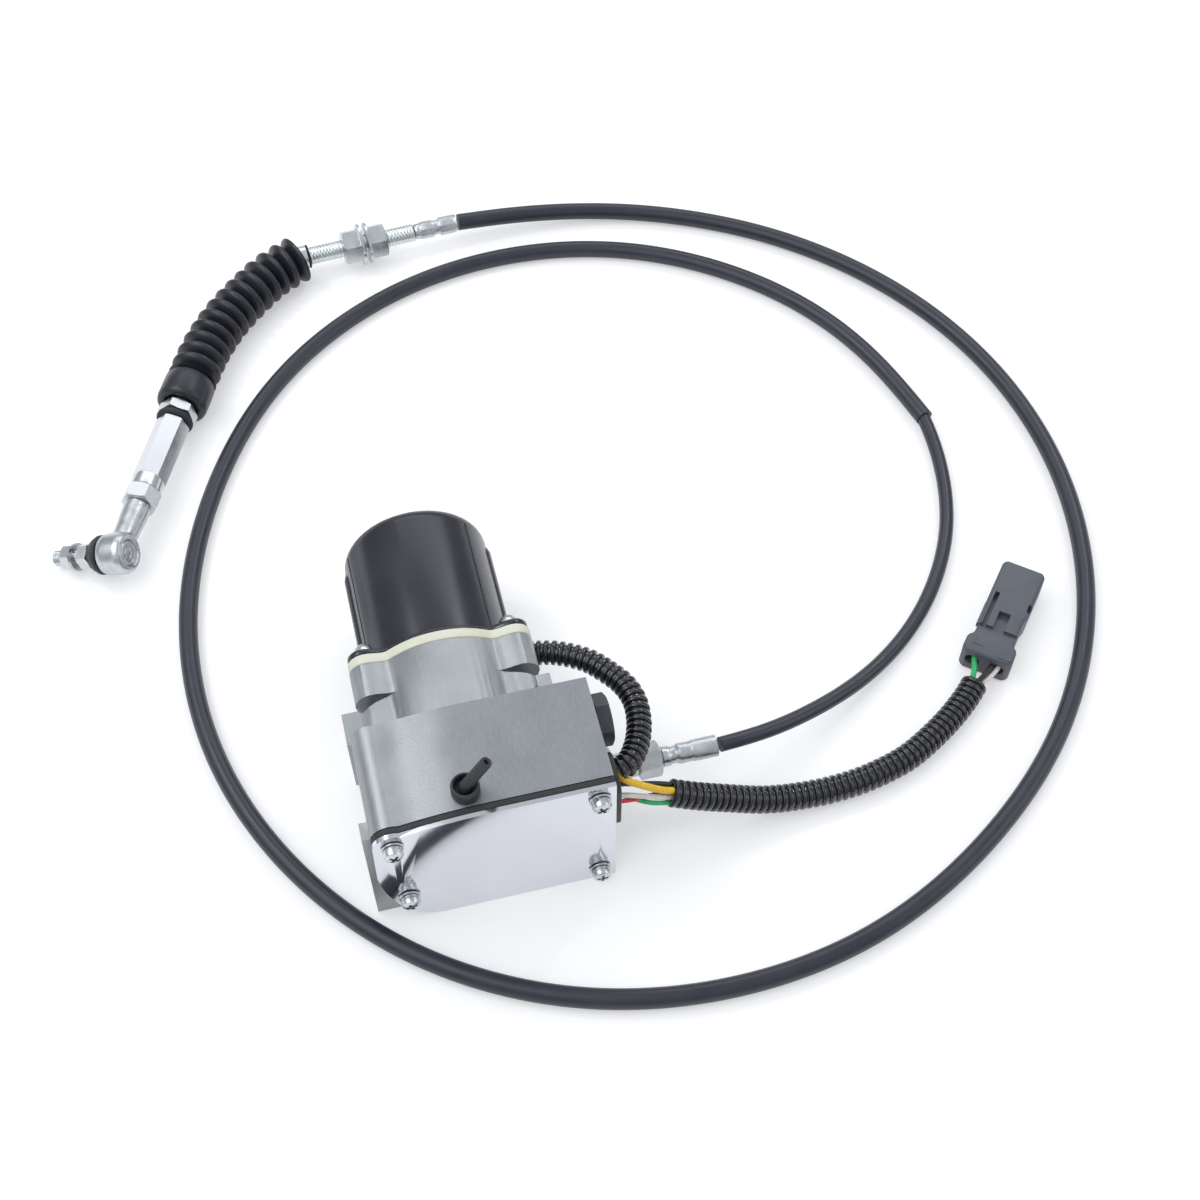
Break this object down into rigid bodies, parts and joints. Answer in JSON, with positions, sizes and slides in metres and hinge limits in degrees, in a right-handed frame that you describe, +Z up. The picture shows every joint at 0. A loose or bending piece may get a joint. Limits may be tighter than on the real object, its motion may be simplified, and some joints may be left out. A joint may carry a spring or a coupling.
{
  "type": "engine governor actuator",
  "caption": "Electric engine governor actuator: a geared motor in a cast housing pulls a long control cable that ends in rubber bellows and a ball-joint rod end.",
  "frame": {"origin": "on the housing's flat underside, below the motor axis and half way along the block", "axes": "+Z up, +Y back along the motor axis from the cover to the can's closed end, +X out through the face that the cable and the wires leave"},
  "size_m": [0.5035, 0.4778, 0.0997],
  "materials": {
    "aluminium": "matt as-cast surface",
    "polished": "mirror-like polished plate",
    "zinc": "bright zinc plate",
    "steel": "plain machined steel",
    "enamel": "satin black enamel",
    "black_plastic": "moulded, satin",
    "grey_plastic": "moulded, satin",
    "cream_plastic": "moulded, satin",
    "rubber": "moulded, matt",
    "copper": "bare and lacquered copper",
    "bronze": "sintered bronze",
    "carbon": "dull sintered",
    "wires": "insulated wires in yellow, green, white, black and red"
  },
  "bodies": {
    "housing": {"gear_housing": "aluminium", "front_gasket": "rubber", "front_cover": "polished", "cover_screw_1": "zinc", "cover_screw_2": "zinc", "cover_screw_3": "zinc", "cover_screw_4": "zinc", "spacer_plate": "cream_plastic", "motor_can": "enamel", "motor_end_plate": "black_plastic", "front_bearing": "steel", "rear_bearing": "steel", "magnet_1": "carbon", "magnet_2": "carbon", "brush_1": "carbon", "brush_2": "carbon", "ring_gear": "steel", "output_bush": "bronze", "position_sensor": "black_plastic", "side_plug": "black_plastic", "wire_grommet": "rubber", "breather_cup": "rubber", "breather_tube": "rubber", "cable_fitting": "zinc", "near_ferrule": "zinc", "cable_sheath": "rubber", "cable_sleeve": "rubber", "far_ferrule": "zinc", "threaded_tube": "zinc", "jam_nut_1": "zinc", "jam_nut_2": "zinc", "tube_collar": "zinc", "bellows": "rubber", "core_strand": "steel", "motor_lead_conduit": "black_plastic", "harness_conduit": "black_plastic", "harness_wires": "wires", "connector_wires": "wires", "connector_shell": "grey_plastic"},
    "armature": {"motor_shaft": "steel", "armature_core": "steel", "armature_windings": "copper", "commutator": "copper"},
    "planet_1": {"planet_gear_1": "steel"},
    "planet_2": {"planet_gear_2": "steel"},
    "planet_3": {"planet_gear_3": "steel"},
    "output": {"output_carrier": "steel", "output_lever": "zinc"},
    "cable_rod": {"cable_clevis": "zinc", "clevis_pin": "steel"},
    "far_rod": {"boot_nut": "zinc", "seal_ring": "rubber", "hex_coupling": "zinc", "lock_nut": "zinc", "rod_end": "zinc"},
    "ball_seal": {"dust_seal": "rubber"},
    "ball_stud": {"ball_stud": "zinc", "stud_washer": "zinc", "stud_nut": "zinc"}
  },
  "joints": [
    {"name": "motor_turn", "type": "hinge", "parent": "housing", "child": "armature", "pos_m": [0, 0.1, 0.0395], "axis": [0, 1, 0], "range_deg": [-220, 220]},
    {"name": "output_turn", "type": "hinge", "parent": "housing", "child": "output", "pos_m": [0, 0.03, 0.0395], "axis": [0, 1, 0], "range_deg": [-40.5, 40.5]},
    {"name": "planet_1_turn", "type": "hinge", "parent": "output", "child": "planet_1", "pos_m": [0.0165, 0.048, 0.0395], "axis": [0, 1, 0], "range_deg": [-103, 103]},
    {"name": "planet_2_turn", "type": "hinge", "parent": "output", "child": "planet_2", "pos_m": [-0.00825, 0.048, 0.02521], "axis": [0, 1, 0], "range_deg": [-103, 103]},
    {"name": "planet_3_turn", "type": "hinge", "parent": "output", "child": "planet_3", "pos_m": [-0.00825, 0.048, 0.05379], "axis": [0, 1, 0], "range_deg": [-103, 103]},
    {"name": "cable_slide", "type": "slide", "parent": "housing", "child": "cable_rod", "axis": [1, 0, 0], "range_m": [-0.0131, 0.0131]},
    {"name": "rod_slide", "type": "slide", "parent": "housing", "child": "far_rod", "axis": [-0.4123, -0.9108, 0.0218], "range_m": [-0.0131, 0.0131], "deforming": ["bellows", "core_strand"]},
    {"name": "stud_tilt", "type": "hinge", "parent": "far_rod", "child": "ball_seal", "pos_m": [-0.13727, 0.18435, 0.016], "axis": [-0.4123, -0.9108, 0.0218], "range_deg": [-12, 12], "deforming": ["dust_seal"]},
    {"name": "stud_spin", "type": "hinge", "parent": "ball_seal", "child": "ball_stud", "pos_m": [-0.13727, 0.18435, 0.016], "axis": [-0.8655, 0.3766, -0.3302], "continuous": true}
  ],
  "couplings": [
    {"joint": "output_turn", "follows": "motor_turn", "ratio": 0.18182},
    {"joint": "planet_1_turn", "follows": "motor_turn", "ratio": -0.46753},
    {"joint": "planet_2_turn", "follows": "motor_turn", "ratio": -0.46753},
    {"joint": "planet_3_turn", "follows": "motor_turn", "ratio": -0.46753},
    {"joint": "cable_slide", "follows": "motor_turn", "m_per_rad": -0.0033872},
    {"joint": "rod_slide", "follows": "motor_turn", "m_per_rad": -0.0033872}
  ]
}
